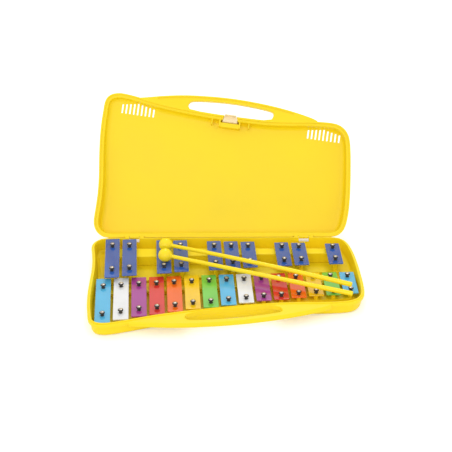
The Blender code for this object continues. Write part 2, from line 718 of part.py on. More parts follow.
def main():
    clear_scene()
    parts = new_collection("glockenspiel")
    tools = new_collection("cutters")
    hinge = bpy.data.objects.new("lid_hinge", None)
    parts.objects.link(hinge)
    hinge.location = (0, HINGE_Y, AXIS_Z)
    outline = counter_clockwise(body_outline())
    make_hinge_bores(tools)
    make_base_tray(parts, tools, outline)
    make_lid_shell(parts, tools, outline, hinge)
    make_latch(parts, tools, hinge)
    make_hinge_pins(parts)
    bars = bar_row()
    for bar in bars:
        make_bar(bar, parts, tools)
    make_rails(bars, parts, tools)
    for name, (head, tail) in BEATERS.items():
        make_beater(name, head, tail, parts, tools)
    hinge.rotation_euler.x = -LID_OPEN


main()
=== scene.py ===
"""The looks of the glockenspiel in its carry case: a fine mesh and a finish for every piece.

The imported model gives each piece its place. Lengths are in metres where a comment doesn't say mm.
The case halves are built as they lie with the lid shut, and the lid's pieces are then turned open
about its hinge.
"""

import json
import math

import bmesh
import bpy
from mathutils import Matrix, Vector


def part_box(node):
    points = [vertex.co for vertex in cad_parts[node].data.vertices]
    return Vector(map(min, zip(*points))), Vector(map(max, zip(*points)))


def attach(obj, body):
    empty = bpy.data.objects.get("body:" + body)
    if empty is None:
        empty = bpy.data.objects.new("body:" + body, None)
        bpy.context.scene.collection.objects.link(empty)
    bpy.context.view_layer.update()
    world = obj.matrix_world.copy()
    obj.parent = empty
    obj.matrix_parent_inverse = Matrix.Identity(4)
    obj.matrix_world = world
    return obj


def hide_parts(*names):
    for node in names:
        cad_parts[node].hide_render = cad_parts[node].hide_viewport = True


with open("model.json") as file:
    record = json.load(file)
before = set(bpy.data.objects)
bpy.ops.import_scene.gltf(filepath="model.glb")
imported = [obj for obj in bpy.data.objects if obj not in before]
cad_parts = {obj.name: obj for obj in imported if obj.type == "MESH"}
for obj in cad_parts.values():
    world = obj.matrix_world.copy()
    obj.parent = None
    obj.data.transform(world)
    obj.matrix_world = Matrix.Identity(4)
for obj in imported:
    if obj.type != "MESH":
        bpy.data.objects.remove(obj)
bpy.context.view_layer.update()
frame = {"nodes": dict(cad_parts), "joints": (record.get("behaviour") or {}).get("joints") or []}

MM = 0.001
JOINTS = {joint["name"]: joint for joint in frame["joints"]}
HINGE = Vector(JOINTS["lid_hinge"]["pos_m"])
OPEN_ANGLE = math.radians(128)
OPEN_TURN = (Matrix.Translation(HINGE) @ Matrix.Rotation(-OPEN_ANGLE, 4, "X")
             @ Matrix.Translation(-HINGE))

# Case: control points as (x, distance in front of the hinge line) in mm
OUTLINE_STEPS = 2            # points of the outline for each control point
FINE_STEPS = 3               # points of a ring for each of the outline's
ARC_STEPS = 5                # points of the handle's curves for each control point
CORNER_R = 11 * MM
BODY_OUTLINE = [
    (170, 0), (182, 3.2), (191, 12), (196.5, 27), (200.5, 50), (203, 80), (204.3, 115),
    (204.4, 148), (201, 168), (190, 181.5), (172, 187.3), (140, 189.5), (110, 189.7), (80, 190.5),
    (58, 192.3), (26, 196.4), (-7, 201), (-51, 208.7), (-100, 219.5), (-137, 230.5), (-157, 236),
    (-172, 238.3), (-185.5, 235.5), (-194, 226), (-197.6, 208), (-200.6, 186), (-202.6, 160),
    (-203.3, 130), (-203.4, 100), (-205, 72), (-208, 48), (-210.6, 30), (-209.6, 18),
    (-204.5, 8.5), (-196, 2.3), (-185, 0)]
HANDLE_ARC = [
    (152, 190.5), (139, 197), (107, 208), (74, 217), (42, 223.8), (17, 228), (-7, 231), (-30, 233),
    (-56, 234.5), (-80, 234.6), (-105, 233.4), (-121, 232), (-137, 231)]
HANDLE_HOLE_FRONT = [
    (77, 193.5), (80, 200.5), (75.5, 206.8), (42, 215), (9.5, 220.5), (-23, 223.7), (-49, 224.5),
    (-56.5, 221.8), (-58.5, 216.5), (-56.5, 211.5)]

# The grip opening's rear edge follows the case's outline, from one x to another
HANDLE_HOLE_REAR = (-52 * MM, 72 * MM)
TRAY_HOLE_INSET = 2.8 * MM
LID_HOLE_INSET = -0.6 * MM
HOLE_FLARE = 1.4 * MM
HOLE_FLARE_STEPS = 5

# The handle's halves: thickness, edge radius and the width of the rounded edge's section in mm
LID_HANDLE_THICK = 10.5
TRAY_HANDLE_THICK = 8.2
HANDLE_EDGE_R = 2.6
HANDLE_EDGE_W = 6
HANDLE_ROOT_INSET = 5.8 * MM
FACE_STEP = 0.1 * MM         # each half's face lies this far inside its rim
GROOVE = (2.9 * MM, 5.4 * MM)    # a channel along the lid's handle, inset from its outer edge
GROOVE_DEPTH = 1.3 * MM
GROOVE_ENDS = 9              # points of the handle's arc that the channel leaves free at each end
LIP_ROOM_INSET = 2.5 * MM
LIP_ROOM_UP = 2.2 * MM

RIM_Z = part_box("base_tray")[1].z - 2.8 * MM      # the hinge knuckles stand above the rim
LID_RIM_Z = RIM_Z + 0.4 * MM                     # the two rims stay this far apart when shut

# Wall sections as (inset from the outline, height, fillet radius) in mm
TRAY_SECTION = [
    (9.5, 0, 2), (5.6, 1.5, 2.5), (4.2, 5, 4), (3.1, 16, 0.8), (0, 17.6, 1.0), (0, 21.4, 0.4),
    (0.6, 22, 0.4), (2.8, 22, 0.3), (3.0, 23.6, 0.5), (4.8, 23.6, 0.7), (5.6, 19.5, 2),
    (7.8, 5.6, 2.8), (12.4, 2.8, 2.5)]
LID_SECTION = [
    (26, 26.4, 0), (7.9, 26.2, 12), (7.4, 12, 4), (7.1, 3.3, 0.6), (6.4, 2.6, 0.6), (2.6, 2.3, 0.6),
    (2.6, 0, 0.5), (0.6, 0, 0.4), (0, 0.6, 0.4), (0, 4.4, 0.9), (3, 6, 0.9), (4.2, 14, 5),
    (5.4, 23.4, 4), (8.8, 27.7, 4), (18, 29, 8), (26, 29, 0)]
LID_SLOPE = 0.09             # the lid gets shallower towards the handle
LID_SLOPE_D = 77 * MM        # where the lid is as deep as its section, in front of the hinge line
LID_SLOPE_HEIGHTS = (4.4, 23)    # the slope grows from none to all of it between these, in mm

# Hinges: one knuckle of the lid between two of the tray
HINGE_X = [-145 * MM, 126 * MM]
KNUCKLE_R = 2.6 * MM
LID_KNUCKLE = 15.2 * MM
TRAY_KNUCKLE = 7.4 * MM
KNUCKLE_GAP = 0.4 * MM
KNUCKLE_ROOM = 0.5 * MM      # the lid's clearance round the tray's knuckles
ROOM_END = 0.1 * MM          # and beyond KNUCKLE_GAP at their ends
SLOT_FLOOR_Z = 15.6 * MM
SLOT_FRONT = 14 * MM         # the tray's slots for the lid's knuckles, from the hinge line
SLOT_BACK = 6 * MM
HINGE_BORE_R = 1.2 * MM

# Vents: the first slot's x and its two ends' distances in front of the hinge line, in mm
VENTS = [(-167.2, 208.3, 222.9), (137.5, 165.2, 179.2)]
VENT_COUNT = 9
VENT_STEP = 6.35 * MM
VENT_WIDTH = 2.6 * MM
VENT_LEAN = math.tan(math.radians(8))
VENT_LEVEL = 5               # front ends in one line, before they step back
VENT_STEP_FRONT = 2.3 * MM
VENT_STEP_REAR = 0.93 * MM
VENT_CUT_Z = (RIM_Z + 7 * MM, RIM_Z + 38 * MM)

# Latch, in a frame on its pivot with x along the wall and -y out of it
LATCH_X = 9.3 * MM
LATCH_TURN = math.radians(7.9)
LATCH_PIVOT_D = 192.6 * MM   # in front of the hinge line
LATCH_PIVOT_UP = 7.5 * MM    # above the lid's rim
LATCH_STUB_R = 1.4 * MM
LATCH_BORE_R = 1.7 * MM
BORE_PAST_CHEEK = 0.5 * MM

# The latch and its housing: sections as (y, z) or (y, z, fillet radius), and x ranges, in mm
LATCH_HALF = 11.2
LATCH_SPLAY = 0.27
LATCH_SECTION = [
    (-7.4, -12.4, 0.4), (-6.8, -13.2, 0.4), (-5.7, -13.1, 0.4), (-5.2, -12.3, 0.4),
    (-5.2, -10.9, 0.4), (-5.7, -10.4, 0.4), (-5.7, -6.0, 0.5), (-4.6, -5.4, 0.5),
    (-1.0, -5.2, 2), (3.4, -4.0, 2.5), (4.6, -1.2, 2.5), (3.6, 2.2, 2), (0.4, 3.4, 2),
    (-2.6, 3.8, 1), (-5.0, 3.9, 1.5), (-6.2, 2.2, 1.5), (-7.0, -1.0, 3), (-7.4, -5.5, 3)]
POCKET_SECTION = [(-13, -12), (5.4, -12), (5.4, 5.7), (-13, 5.7)]
POCKET_GAP = 0.7
CHEEK_X = [(-17.3, -15.1), (15.1, 17.3)]
CHEEK_SECTION = [
    (-3.2, -6.1), (12.0, -6.1), (12.0, 10.0), (6.0, 9.3), (1.6, 5.2), (-0.6, 2.5), (-3.2, 2.5)]
RIB_X = [(-29.9, -28.1), (30.3, 32.1)]
RIB_SECTION = [(0.2, -3.8), (9.6, -3.8), (9.6, 9.65), (6.0, 9.2), (1.9, 5.2), (0.2, 1.2)]
HOUSING_BACK = ((-15.6, 5.4, -4.6), (15.6, 12.5, 9.9))

# The recess behind the tray's front wall for the latch's hook, under a lip
RECESS_GAP = 1.2 * MM
RECESS_Y = (-10.9 * MM, -3.1 * MM)
RECESS_HIGH = 5 * MM
CATCH_LIP = 2.4 * MM

# Bars, and the pins that carry them
BAR_T = 2                    # in mm
BAR_CORNER_R = 1.6 * MM
BAR_EDGE_R = 0.5 * MM
BAR_HOLE_R = 2.9 * MM
BAR_HOLE_FLARE = 0.35 * MM
SEAT_GAP = 0.3 * MM
POST_TOP_R = 3.1 * MM
POST_FOOT_R = 3.55 * MM
POST_EDGE = 0.4 * MM
SLEEVE_R = 2.35 * MM
SLEEVE_GAP = 0.05 * MM       # under the sleeve, above its post
PIN_HEAD_R = 4.0 * MM
PIN_RISE = 4.0 * MM
PIN_DOME = 2.5 * MM
PIN_RIM = 0.35 * MM          # the upright part of the head's edge
PIN_APART = 3 * MM           # packed points nearer to each other than this are of one pin

# A bar's own pins have their tops this near to its top, and their middles to its middle line
PIN_NEAR_TOP = 8 * MM
PIN_NEAR_LINE = 3 * MM

# Rails: name, the height of their bars' underside, their own top, and the widths in front of the
# pins and behind them, each at the low notes' end and at the high notes' end. All in mm.
RAILS = [
    ("natural_rear_rail", 15, 9, (6, 6), (6, 6)),
    ("natural_front_rail", 15, 6.6, (5, 5), (5, 5)),
    ("sharp_rear_rail", 24, 19.5, (23, 5), (4, 8)),
    ("sharp_front_rail", 24, 6.6, (5, 5), (5, 5))]
RAIL_END = 6.5 * MM          # past the last pins
RAIL_DRAFT = 0.1             # in mm
RAIL_EDGE_R = 1.2            # in mm
POST_SINK = 0.6              # the posts start this far under the rail's top, in mm

# Beaters: the middle of the ball, the stick's tail and how far the stick bows up, in mm
HEAD_R = 10.6 * MM
SEAM_DEPTH = 0.16 * MM
SEAM_HALF = 0.04             # in radians
COLLAR_R = 4.4 * MM
COLLAR_TOP = HEAD_R + 0.5 * MM
STICK_R_HEAD = 3.0 * MM
STICK_R_TAIL = 3.8 * MM
STICK_IN_HEAD = 7 * MM
STICK_EVEN = 20 * MM         # the stick's last part before the ball doesn't taper
TAIL_EDGE_R = 1.3 * MM
BEATERS = {"beater_upper": ((-92.5, 73.8, 37.0), (185.0, -33.5, 32.2), 2.2),
           "beater_lower": ((-92.0, 43.1, 37.0), (184.5, -50.5, 27.6), 0.0)}


# ---------------------------------------------------------------- meshes

MERGE_DISTANCE = 0.003 * MM
SLIVER = 0.001 * MM


def mesh_object(name, mesh):
    """A new object in the scene with the given mesh."""
    obj = bpy.data.objects.new(name, mesh)
    bpy.context.scene.collection.objects.link(obj)
    return obj


def bridge(name, rings):
    """A closed surface through rings of equal point counts, capped at both ends."""
    bm = bmesh.new()
    loops = [[bm.verts.new(p) for p in ring] for ring in rings]
    count = len(loops[0])
    for low, high in zip(loops, loops[1:]):
        for i in range(count):
            j = (i + 1) % count
            bm.faces.new((low[i], low[j], high[j], high[i]))
    bm.faces.new(loops[0])
    bm.faces.new(loops[-1])
    bmesh.ops.recalc_face_normals(bm, faces=bm.faces)
    return to_mesh(name, bm)


def to_mesh(name, bm):
    """Store a BMesh as a mesh and free it."""
    mesh = bpy.data.meshes.new(name)
    bm.to_mesh(mesh)
    bm.free()
    return mesh


def loft(name, rings):
    """A closed solid through flat outlines, each with its height."""
    return bridge(name, [[(p.x, p.y, z) for p in ring] for ring, z in rings])


def box(name, low, high):
    """A block between two opposite corners."""
    bm = bmesh.new()
    bmesh.ops.create_cube(bm, size=1)
    size = Vector(high) - Vector(low)
    middle = (Vector(high) + Vector(low)) / 2
    place = Matrix.Translation(middle) @ Matrix.Diagonal((*size, 1))
    bmesh.ops.transform(bm, verts=bm.verts, matrix=place)
    return to_mesh(name, bm)


def across(name, section, low, high, splay=0.0):
    """A solid of a (y, z) section from one x to another, all in mm. Splay widens it towards +y."""
    sides = ((low, -1), (high, 1))
    ends = [[Vector((x + way * splay * y, y, z)) * MM for y, z in section] for x, way in sides]
    return bridge(name, ends)


def rod_x(name, radius, low_x, high_x, y, z):
    """A cylinder along X with its two end edges broken."""
    half = (high_x - low_x) / 2
    chamfer = 0.25 * MM
    profile = [(0, half), (radius - chamfer, half), (radius, half - chamfer),
               (radius, chamfer - half), (radius - chamfer, -half), (0, -half)]
    mesh = turned(name, profile, sides=28)
    middle = Matrix.Translation(((low_x + high_x) / 2, y, z))
    mesh.transform(middle @ Matrix.Rotation(math.pi / 2, 4, "Y"))
    return mesh


def turned(name, profile, sides):
    """A solid of revolution about Z through (radius, height) points, from the top of the axis down."""
    bm = bmesh.new()
    rings = []
    for radius, z in profile:
        if radius == 0:
            rings.append([bm.verts.new((0, 0, z))])
            continue
        turns = (2 * math.pi * i / sides for i in range(sides))
        rings.append([bm.verts.new((radius * math.cos(a), radius * math.sin(a), z)) for a in turns])
    for upper, lower in zip(rings, rings[1:]):
        for i in range(sides):
            j = (i + 1) % sides
            corners = [upper[i % len(upper)], lower[i % len(lower)],
                       lower[j % len(lower)], upper[j % len(upper)]]
            bm.faces.new(list(dict.fromkeys(corners)))      # a point on the axis only once
    bmesh.ops.recalc_face_normals(bm, faces=bm.faces)
    return to_mesh(name, bm)


def joined(name, placed):
    """One mesh of the given (mesh, matrix) pairs."""
    bm = bmesh.new()
    for mesh, matrix in placed:
        copy = mesh.copy()
        copy.transform(matrix)
        bm.from_mesh(copy)
        bpy.data.meshes.remove(copy)
    return to_mesh(name, bm)


def cut(obj, mesh, operation):
    """Apply a Boolean with the given mesh to an object."""
    tool = mesh_object("tool", mesh)
    modifier = obj.modifiers.new("cut", "BOOLEAN")
    modifier.operation = operation
    modifier.solver = "EXACT"
    modifier.object = tool
    bake(obj)
    bpy.data.objects.remove(tool, do_unlink=True)


def bake(obj):
    """Replace the object's mesh by the one after its modifiers, without slivers."""
    bpy.context.view_layer.update()
    evaluated = obj.evaluated_get(bpy.context.evaluated_depsgraph_get())
    mesh = bpy.data.meshes.new_from_object(evaluated)
    obj.modifiers.clear()
    bm = bmesh.new()
    bm.from_mesh(mesh)
    bmesh.ops.remove_doubles(bm, verts=bm.verts, dist=MERGE_DISTANCE)
    bmesh.ops.dissolve_degenerate(bm, edges=bm.edges, dist=SLIVER)
    bm.to_mesh(mesh)
    bm.free()
    obj.data = mesh


def smooth(obj, angle=32):
    """Smooth shading with sharp edges, and flat faces kept flat."""
    obj.data.shade_smooth()
    obj.data.set_sharp_from_angle(angle=math.radians(angle))
    weighted = obj.modifiers.new("flat faces", "WEIGHTED_NORMAL")
    weighted.keep_sharp = True


# ---------------------------------------------------------------- outlines

def case_point(x, d):
    """A point given in mm as x and the distance in front of the hinge line."""
    return Vector((x * MM, HINGE.y - d * MM))


def between(ends, t):
    """The value at a share t of the way between two ends."""
    return ends[0] + (ends[1] - ends[0]) * t


def share(value, ends):
    """How far a value is on its way between two ends, from 0 to 1."""
    return min(max((value - ends[0]) / (ends[1] - ends[0]), 0), 1)


def spline(points, steps):
    """Points of an open Catmull-Rom curve through the given ones."""
    last = len(points) - 1
    out = []
    for i in range(last):
        a, b, c, d = (points[min(max(i + k, 0), last)] for k in (-1, 0, 1, 2))
        for s in range(steps):
            t = s / steps
            out.append(0.5 * ((2 * b) + (c - a) * t + (2 * a - 5 * b + 4 * c - d) * t ** 2
                              + (3 * b - a - 3 * c + d) * t ** 3))
    out.append(points[-1].copy())
    return out


def counter_clockwise(outline):
    """The outline, turned round if it runs clockwise."""
    area = sum(a.cross(b) for a, b in zip(outline, outline[1:] + outline[:1]))
    return outline if area > 0 else outline[::-1]


def inset(outline, distance):
    """Move a closed outline inwards, each point along the mean of its two edge normals."""
    count = len(outline)
    moved = []
    for i, here in enumerate(outline):
        before = (here - outline[i - 1]).normalized()
        after = (outline[(i + 1) % count] - here).normalized()
        normal = Vector((-before.y - after.y, before.x + after.x)).normalized()
        stretch = 1 / max(0.5, normal.dot(Vector((-after.y, after.x))))
        moved.append(here + normal * distance * stretch)
    return moved


def drawn_in(outline, distance):
    """The outline moved inwards; past the corners' radius it's drawn towards its middle instead."""
    near = inset(outline, min(distance, CORNER_R))
    low = Vector((min(p.x for p in near), min(p.y for p in near)))
    high = Vector((max(p.x for p in near), max(p.y for p in near)))
    middle = (low + high) / 2
    half = (high - low) / 2
    rest = max(0, distance - CORNER_R)
    keep_x = 1 - rest / half.x
    keep_y = 1 - rest / half.y
    return [middle + Vector(((p.x - middle.x) * keep_x, (p.y - middle.y) * keep_y)) for p in near]


def filleted(points, steps=4):
    """An open profile of (x, y, radius) points with an arc of that radius at each inner point."""
    out = [Vector(points[0][:2])]
    for before, here, after in zip(points, points[1:], points[2:]):
        corner = Vector(here[:2])
        back = Vector(before[:2]) - corner
        on = Vector(after[:2]) - corner
        half = back.angle(on) / 2
        room = 0.49 * min(back.length, on.length)       # arcs next to each other don't meet
        reach = min(here[2] / max(math.tan(half), 0.01), room)
        if reach < 0.02:
            out.append(corner)
            continue
        start = corner + back.normalized() * reach
        end = corner + on.normalized() * reach
        for s in range(steps + 1):
            t = s / steps
            out.append(start * (1 - t) ** 2 + corner * 2 * t * (1 - t) + end * t ** 2)
    out.append(Vector(points[-1][:2]))
    return out


COARSE = counter_clockwise(spline([case_point(*p) for p in BODY_OUTLINE], OUTLINE_STEPS))


def case_ring(distance):
    """The case's outline inset by a distance, kept between the tray's two sides."""
    low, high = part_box("base_tray")
    line = spline(drawn_in(COARSE, distance), FINE_STEPS)
    return [Vector((min(max(p.x, low.x), high.x), p.y)) for p in line]


def front_wall(distance, left, right):
    """A line along the front wall, inset from the outline, from left to right."""
    line = inset(COARSE, distance)
    middles = [(a + b) / 2 for a, b in zip(line, line[1:] + line[:1])]
    return sorted((p for p in middles if left < p.x < right and p.y < 0), key=lambda p: p.x)


def tray_shell():
    """The tray: its wall section swept round the outline."""
    return loft("case_tray", [(case_ring(r * MM), z * MM) for r, z in filleted(TRAY_SECTION)])


def lid_shell():
    """The lid as it lies when shut. Its panel comes nearer to the rim plane towards the handle."""
    rings = []
    for r, z in filleted(LID_SECTION, steps=5):
        rise = LID_SLOPE * share(z, LID_SLOPE_HEIGHTS)
        rings.append([(p.x, p.y, LID_RIM_Z + z * MM + rise * (p.y - HINGE.y + LID_SLOPE_D))
                      for p in case_ring(r * MM)])
    return bridge("case_lid", rings)


def offset_line(line, distance):
    """An open line from the right to the left, moved towards +y by its own normals."""
    moved = []
    for i, here in enumerate(line):
        along = (line[min(i + 1, len(line) - 1)] - line[max(i - 1, 0)]).normalized()
        moved.append(here + Vector((along.y, -along.x)) * distance * (1 if along.x < 0 else -1))
    return moved


def handle_arc():
    """The handle's outer edge, from the right to the left."""
    return spline([case_point(*p) for p in HANDLE_ARC], ARC_STEPS)


def handle_slab(name, base_z, thick):
    """The handle: a slab with a rounded outer edge, from its arc back into the case's front wall."""
    section = [(HANDLE_EDGE_W, 0, 0), (0, 0, HANDLE_EDGE_R), (0, thick, HANDLE_EDGE_R),
               (HANDLE_EDGE_W, thick, 0)]
    arc = handle_arc()
    root = spline(front_wall(HANDLE_ROOT_INSET, arc[-1].x, arc[0].x), 2)
    return loft(name, [(offset_line(arc, r * MM) + root, base_z + z * MM)
                       for r, z in filleted(section, steps=6)[1:-1]])


def lip_room():
    """The rebate that takes the tray's lip, carried on through the root of the lid's handle."""
    outline = case_ring(LIP_ROOM_INSET)
    return loft("lip room", [(outline, LID_RIM_Z - 3 * MM), (outline, LID_RIM_Z + LIP_ROOM_UP)])


def handle_groove(face_z):
    """The cutter of the channel along the lid's handle."""
    arc = handle_arc()[GROOVE_ENDS:-GROOVE_ENDS]
    outline = offset_line(arc, GROOVE[0]) + offset_line(arc, GROOVE[1])[::-1]
    return loft("groove", [(outline, face_z - 4 * MM), (outline, face_z + GROOVE_DEPTH)])


def rolled(radius, angles):
    """An edge's quarter arc as (inset, way in from the face), for the given angles."""
    return [(radius * (1 - math.sin(a)), radius * (1 - math.cos(a))) for a in angles]


def handle_hole(name, rear_inset, low, high):
    """The grip opening's cutter, flared where it leaves the handle's two faces."""
    rear = spline(front_wall(rear_inset, *HANDLE_HOLE_REAR), 2)
    front = spline([case_point(*p) for p in HANDLE_HOLE_FRONT], ARC_STEPS)
    outline = counter_clockwise(rear + front)
    turns = [math.pi / 2 * i / HOLE_FLARE_STEPS for i in range(HOLE_FLARE_STEPS + 1)]
    flares = rolled(HOLE_FLARE, turns)
    levels = [(HOLE_FLARE, low - 5 * MM)]
    levels += [(out, low + up) for out, up in flares]
    levels += [(out, high - up) for out, up in flares[::-1]]
    levels.append((HOLE_FLARE, high + 5 * MM))
    return loft(name, [(inset(outline, -out), z) for out, z in levels])


# ---------------------------------------------------------------- materials

class Look:
    """A Principled material and short ways to feed it."""

    def __init__(self, name):
        self.material = bpy.data.materials.new(name)
        self.material.use_nodes = True
        self.nodes = self.material.node_tree.nodes
        self.links = self.material.node_tree.links
        self.shader = self.nodes["Principled BSDF"]
        coordinates = self.nodes.new("ShaderNodeTexCoord")
        self.place = coordinates.outputs["Object"]
        self.normal = coordinates.outputs["Normal"]

    def set(self, **values):
        """Give the shader's sockets a value each, or link an output to them."""
        for name, value in values.items():
            socket = self.shader.inputs[name.replace("_", " ")]
            if hasattr(value, "links"):
                self.links.new(value, socket)
            else:
                socket.default_value = value

    def noise(self, scale, detail):
        """Noise of the given number of features a metre, from 0 to 1."""
        node = self.nodes.new("ShaderNodeTexNoise")
        node.inputs["Scale"].default_value = scale
        node.inputs["Detail"].default_value = detail
        self.links.new(self.place, node.inputs["Vector"])
        return node.outputs["Fac"]

    def map(self, value, low, high, out_low, out_high):
        """A value's range turned into another."""
        node = self.nodes.new("ShaderNodeMapRange")
        node.inputs["From Min"].default_value = low
        node.inputs["From Max"].default_value = high
        node.inputs["To Min"].default_value = out_low
        node.inputs["To Max"].default_value = out_high
        self.links.new(value, node.inputs["Value"])
        return node.outputs["Result"]

    def ramp(self, value, stops):
        """Colours along a value: a list of (position, colour)."""
        node = self.nodes.new("ShaderNodeValToRGB")
        ramp = node.color_ramp
        while len(ramp.elements) < len(stops):
            ramp.elements.new(0.5)
        for element, (position, colour) in zip(ramp.elements, stops):
            element.position = position
            element.color = (*colour, 1)
        self.links.new(value, node.inputs["Fac"])
        return node.outputs["Color"]

    def sum(self, a, b, share):
        """a plus a share of b."""
        node = self.nodes.new("ShaderNodeMath")
        node.operation = "MULTIPLY_ADD"
        self.links.new(b, node.inputs[0])
        node.inputs[1].default_value = share
        self.links.new(a, node.inputs[2])
        return node.outputs["Value"]

    def bump(self, height, depth):
        """Relief whose height from 0 to 1 stands for the given depth in metres."""
        node = self.nodes.new("ShaderNodeBump")
        node.inputs["Strength"].default_value = 1.0
        node.inputs["Distance"].default_value = depth
        self.links.new(height, node.inputs["Height"])
        self.links.new(node.outputs["Normal"], self.shader.inputs["Normal"])


def scaled(colour, factor):
    """The colour made lighter or darker."""
    return tuple(min(1.0, c * factor) for c in colour)


def moulded(name, colour, roughness, grain):
    """Injection-moulded plastic: a fine spark-eroded grain, soft flow clouds and uneven gloss."""
    look = Look(name)
    clouds = look.noise(14, detail=4)
    fine = look.noise(1500, detail=2)
    tones = [(0.25, scaled(colour, 0.965)), (0.75, scaled(colour, 1.02))]
    look.set(Base_Color=look.ramp(clouds, tones))
    gloss = look.sum(clouds, fine, 0.4)
    look.set(Roughness=look.map(gloss, 0.3, 1.1, roughness - 0.05, roughness + 0.07))
    look.set(IOR=1.46, Specular_IOR_Level=0.35)
    look.bump(look.sum(fine, look.noise(60, detail=2), 2.0), grain)
    return look.material


def enamel(name, colour):
    """Glossy stoving enamel on steel: faint orange peel, and a colour that pools a little."""
    look = Look(name)
    pools = look.noise(45, detail=4)
    tones = [(0.3, scaled(colour, 0.94)), (0.7, scaled(colour, 1.04))]
    look.set(Base_Color=look.ramp(pools, tones))
    look.set(Roughness=look.map(look.noise(160, detail=3), 0.3, 0.7, 0.05, 0.115))
    look.set(IOR=1.7)
    look.bump(look.noise(420, detail=2), 0.006 * MM)
    return look.material


def plated(look, low, high):
    """Give a look the gloss and the fine drawing marks of plated steel."""
    look.set(Roughness=look.map(look.noise(1900, detail=2), 0.3, 0.7, low, high))
    look.set(Metallic=1.0)
    look.bump(look.noise(2600, detail=2), 0.01 * MM)
    return look.material


def hinge_steel(name, colour):
    """Plated steel wire, slightly cloudy."""
    look = Look(name)
    tones = [(0.3, scaled(colour, 0.9)), (0.7, scaled(colour, 1.05))]
    look.set(Base_Color=look.ramp(look.noise(700, detail=4), tones))
    return plated(look, 0.27, 0.4)


def domed_head(name, painted_highlight_colour, painted_shade_colour):
    """A plated nail head with painted light: the crown, which faces up, is painted bright as a
    highlight, and the steep skirt is painted dark as shade.
    """
    look = Look(name)
    split = look.nodes.new("ShaderNodeSeparateXYZ")
    look.links.new(look.normal, split.inputs["Vector"])
    # Painted highlight and shade: the base colour follows how far the surface faces up, with a little
    # random spread.
    facing_up_for_painted_light = look.sum(split.outputs["Z"], look.noise(500, detail=3), 0.04)
    tones = [(0.80, painted_shade_colour), (0.90, scaled(painted_highlight_colour, 0.6)), (0.98, painted_highlight_colour)]
    look.set(Base_Color=look.ramp(facing_up_for_painted_light, tones))
    return plated(look, 0.22, 0.36)


def vinyl(name, colour):
    """Soft vinyl tube: dark, matt and slightly dusty."""
    look = Look(name)
    dust = look.noise(900, detail=5)
    look.set(Base_Color=look.ramp(dust, [(0.35, colour), (0.8, scaled(colour, 1.7))]))
    look.set(Roughness=look.map(dust, 0.3, 0.7, 0.5, 0.68))
    look.bump(look.noise(2400, detail=2), 0.03 * MM)
    return look.material


case_plastic = moulded("case plastic", (0.94, 0.705, 0.008), 0.36, 0.04 * MM)
beater_plastic = moulded("beater plastic", (0.95, 0.73, 0.015), 0.17, 0.01 * MM)
latch_plastic = moulded("latch plastic", (0.92, 0.75, 0.45), 0.3, 0.02 * MM)
# The pins' two colours are a painted highlight on the crown and painted shade on the skirt.
pin_metal = domed_head("nickel plate with painted highlight", (0.50, 0.46, 0.41), (0.045, 0.042, 0.038))
hinge_metal = hinge_steel("hinge steel", (0.5, 0.5, 0.52))
sleeve_rubber = vinyl("sleeve vinyl", (0.03, 0.029, 0.027))

NOTE_COLOURS = {
    "g": (0.095, 0.456, 0.721), "a": (0.784, 0.79, 0.79), "b": (0.376, 0.053, 0.276),
    "c": (0.657, 0.037, 0.0265), "d": (0.859, 0.143, 0.0106), "e": (0.88, 0.551, 0.0106),
    "f": (0.18, 0.562, 0.064)}
SHARP_COLOUR = (0.032, 0.105, 0.405)
bar_paint = {note: enamel("enamel " + note, colour) for note, colour in NOTE_COLOURS.items()}
sharp_paint = enamel("enamel sharps", SHARP_COLOUR)


def finish_piece(obj, material, body, *nodes):
    """Give a piece its material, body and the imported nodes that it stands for."""
    obj.data.materials.clear()
    obj.data.materials.append(material)
    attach(obj, body)
    if nodes:
        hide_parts(*nodes)


# ---------------------------------------------------------------- the case

def tray_knuckles():
    """The tray's knuckles as x ranges, one on each side of each of the lid's."""
    inner = LID_KNUCKLE / 2 + KNUCKLE_GAP
    outer = inner + TRAY_KNUCKLE
    return [tuple(sorted((x + side * inner, x + side * outer))) for x in HINGE_X for side in (-1, 1)]


def lid_knuckles():
    """The lid's knuckles as x ranges."""
    return [(x - LID_KNUCKLE / 2, x + LID_KNUCKLE / 2) for x in HINGE_X]


def barrels(name, spans, radius, grow=0.0):
    """Cylinders on the hinge line, each longer than its x range by grow at both ends."""
    return joined(name, [(rod_x(name, radius, a - grow, b + grow, HINGE.y, HINGE.z), Matrix())
                         for a, b in spans])


def hinge_bores():
    """The cutter of the holes through all the knuckles."""
    reach = LID_KNUCKLE / 2 + TRAY_KNUCKLE + 2 * MM
    return barrels("bores", [(x - reach, x + reach) for x in HINGE_X], HINGE_BORE_R)


def latch_frame():
    """The latch's place and turn when the lid is shut."""
    pivot = Vector((LATCH_X, HINGE.y - LATCH_PIVOT_D, LID_RIM_Z + LATCH_PIVOT_UP))
    return Matrix.Translation(pivot) @ Matrix.Rotation(LATCH_TURN, 4, "Z")


